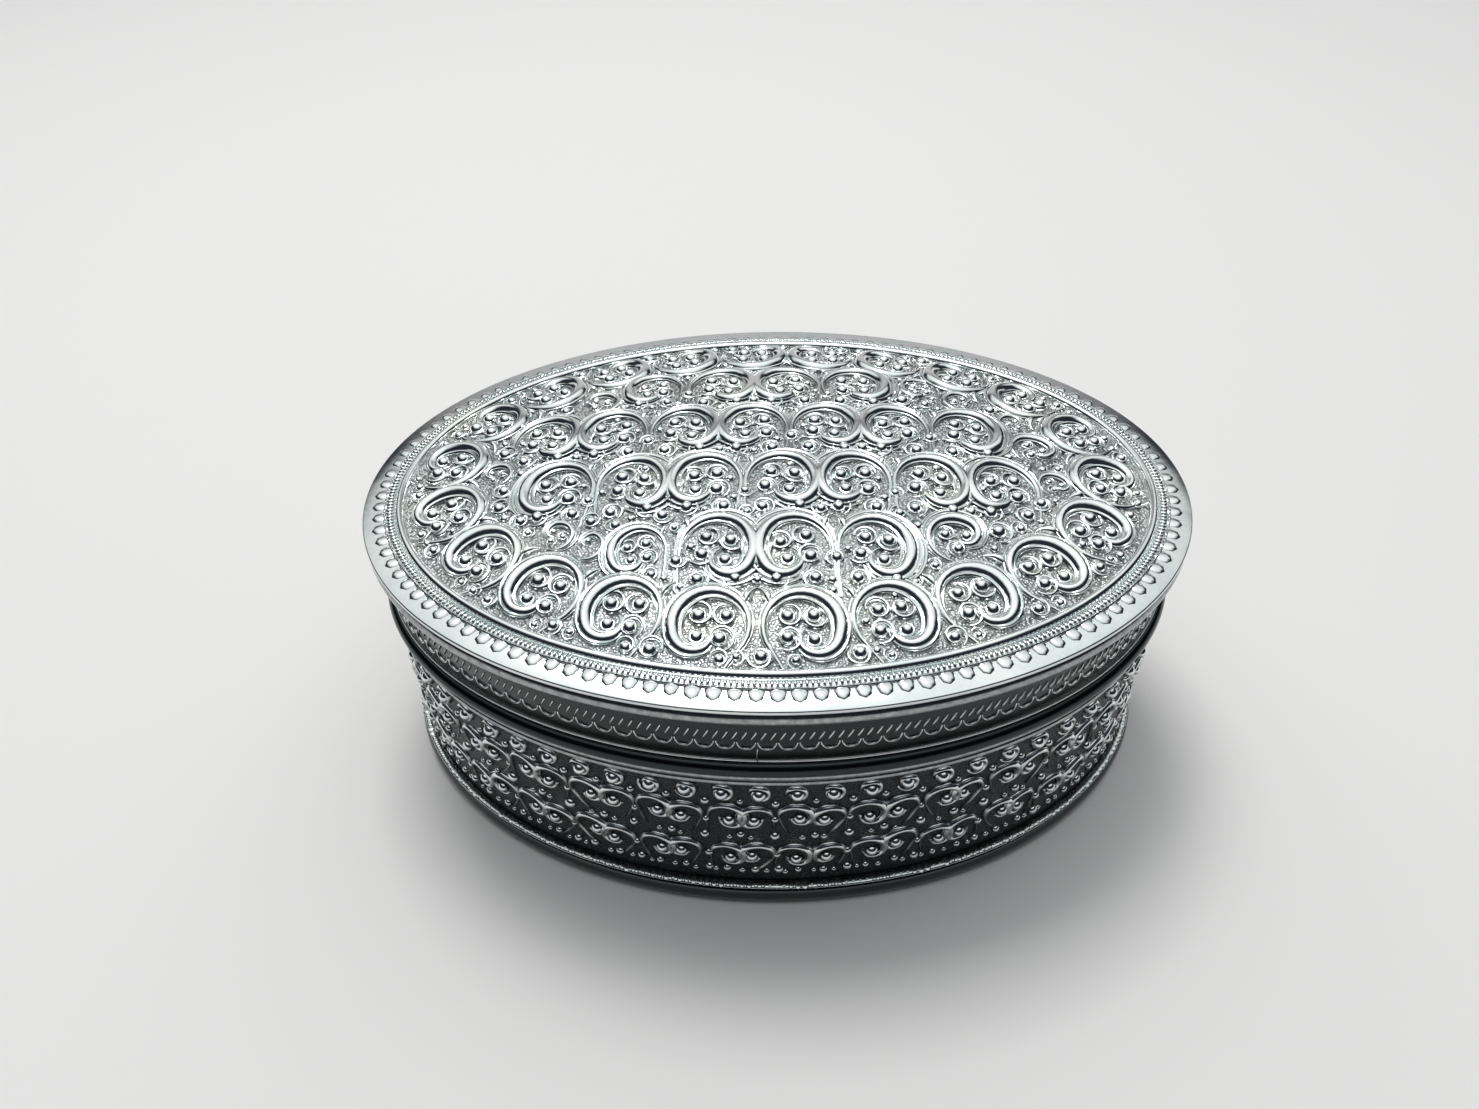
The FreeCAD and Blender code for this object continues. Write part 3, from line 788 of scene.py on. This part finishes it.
loops = {
    "count": 120, "top": 44.5, "drop": 1.7, "half": 0.46, "width": 0.46, "steps": 8,
    "taper": {"rise": 0.3, "fall": 0.7, "tip": 0.55, "end": 0.55},
    "fullHeight": 0.34, "heightCounts": 0.35,
    "seam": -3.2, "seamMarks": [(0, 39.7, 0.35), (-0.1, 41.2, 0.3), (0.05, 43.0, 0.35)],      # soldered at the front
}
skirtLoops = []
loopPitch = skirtLine["length"] / loops["count"]
for number in range(loops["count"]):
    marks = []
    for step in range(loops["steps"] + 1):
        swing = math.pi * step / loops["steps"]
        along = loopPitch * (number + 0.5 - loops["half"] * math.cos(swing))
        marks.append(Vector((along, loops["top"] - loops["drop"] * math.sin(swing))))
    skirtLoops.append(tapered(marks, loops["width"], **loops["taper"]))
skirtLoops.append([(loops["seam"] + aside, level, width) for aside, level, width in loops["seamMarks"]])

ropeTicks = {"count": 262, "width": 0.45, "level": 45.9, "rise": 1.0, "lean": 0.5,
             "widths": [(-1, 0.45), (-0.4, 1), (0.4, 1), (1, 0.45)]}          # along the tick, and share of the width
rope = []
for number in range(ropeTicks["count"]):
    middle = skirtLine["length"] * (number + 0.5) / ropeTicks["count"]
    rope.append([(middle + ropeTicks["lean"] * share, ropeTicks["level"] + ropeTicks["rise"] * share,
                  ropeTicks["width"] * wide) for share, wide in ropeTicks["widths"]])
skirtChasing = bmesh.new()
sweptStrokes(skirtChasing, "ridge", skirtLoops)
sweptStrokes(skirtChasing, "ridge", rope)
layOn(skirtChasing, onSkirt, loops["fullHeight"], upright=loops["heightCounts"])
finishPiece("skirtChasing", skirtChasing, "sideChasing", "lid", crease=60)

for section in sections.values():
    bpy.data.objects.remove(section)

# stage: floor, light and camera
floor = {"size": 6.0, "colour": (0.88, 0.86, 0.865), "roughness": 0.9}
grid = bmesh.new()
bmesh.ops.create_grid(grid, x_segments=1, y_segments=1, size=floor["size"])
floorMesh = bpy.data.meshes.new("floor")
grid.to_mesh(floorMesh)
grid.free()
floorObject = bpy.data.objects.new("floor", floorMesh)
scene.collection.objects.link(floorObject)
floorMaterial = bpy.data.materials.new("paleFloor")
floorMaterial.use_nodes = True
floorShader = floorMaterial.node_tree.nodes["Principled BSDF"]
floorShader.inputs["Base Color"].default_value = (*floor["colour"], 1)
floorShader.inputs["Roughness"].default_value = floor["roughness"]
floorMesh.materials.append(floorMaterial)

# each light part of the sky has a direction, the cosines between which it grows, and a colour
sky = {
    "low": (0.02, 0.024, 0.032),
    "behind": {"towards": (0, 0.99, 0.14), "grows": (0.84, 0.985), "colour": (0.55, 0.54, 0.54)},
    "flanks": {"left": (-0.5, 0.55, 0.67), "right": (0.5, 0.55, 0.67), "grows": (0.88, 0.985),
               "colour": (0.8, 0.83, 0.82)},
    "above": {"towards": (0, 0.12, 0.993), "grows": (0.6, 0.95), "colour": (1.08, 1.12, 1.11)},
}
world = bpy.data.worlds.new("studio")
world.use_nodes = True
scene.world = world
skyTree = world.node_tree
around = skyTree.nodes.new("ShaderNodeTexCoord").outputs["Generated"]


def skyTowards(direction):
    dot = addNode(skyTree, "ShaderNodeVectorMath", {"operation": "DOT_PRODUCT"})
    skyTree.links.new(around, dot.inputs[0])
    dot.inputs[1].default_value = direction
    return dot.outputs["Value"]


def addGlow(under, closeness, part):
    return mixColour(skyTree, rangeNode(skyTree, closeness, *part["grows"]), under, part["colour"])


flanks = mathNode(skyTree, "MAXIMUM", skyTowards(sky["flanks"]["left"]), skyTowards(sky["flanks"]["right"]))
glow = addGlow(sky["low"], skyTowards(sky["behind"]["towards"]), sky["behind"])
glow = addGlow(glow, flanks, sky["flanks"])
glow = addGlow(glow, skyTowards(sky["above"]["towards"]), sky["above"])
skyTree.links.new(glow, skyTree.nodes["Background"].inputs["Color"])

backBox = {"place": (-0.12, 0.32, 1.05), "aim": (0, 0, 0.04), "size": 0.35, "power": 5.0, "colour": (1.0, 0.99, 0.97)}
light = bpy.data.lights.new("backBox", "AREA")
light.size = backBox["size"]
light.energy = backBox["power"]
light.color = backBox["colour"]
lightObject = bpy.data.objects.new("backBox", light)
lightObject.location = backBox["place"]
beam = Vector(backBox["aim"]) - Vector(backBox["place"])
lightObject.rotation_euler = beam.to_track_quat("-Z", "Y").to_euler()
scene.collection.objects.link(lightObject)

# degrees, metres and a lens in millimetres
shot = {"elevation": 42.15, "azimuth": 1.56, "roll": 1.48, "distance": 0.20453, "aside": -0.00661, "raised": -0.01268,
        "target": 0.0542, "lens": 27.04}
elevation, azimuth, roll = (math.radians(shot[key]) for key in ("elevation", "azimuth", "roll"))
back = Vector((math.sin(azimuth) * math.cos(elevation), -math.cos(azimuth) * math.cos(elevation), math.sin(elevation)))
right = Vector((math.cos(azimuth), math.sin(azimuth), 0))
up = back.cross(right)
camera = bpy.data.cameras.new("photoCamera")
camera.sensor_fit = "HORIZONTAL"
camera.sensor_width = 36
camera.lens = shot["lens"]
camera.clip_start = 0.005
cameraObject = bpy.data.objects.new("photoCamera", camera)
scene.collection.objects.link(cameraObject)
rolledRight = right * math.cos(roll) - up * math.sin(roll)
rolledUp = right * math.sin(roll) + up * math.cos(roll)
turned = Matrix((rolledRight, rolledUp, back)).transposed()
stand = Vector((0, 0, shot["target"])) + back * shot["distance"] + right * shot["aside"] + up * shot["raised"]
cameraObject.matrix_world = Matrix.Translation(stand) @ turned.to_4x4()
scene.camera = cameraObject
scene.view_settings.view_transform = "Standard"
print("stage ready")
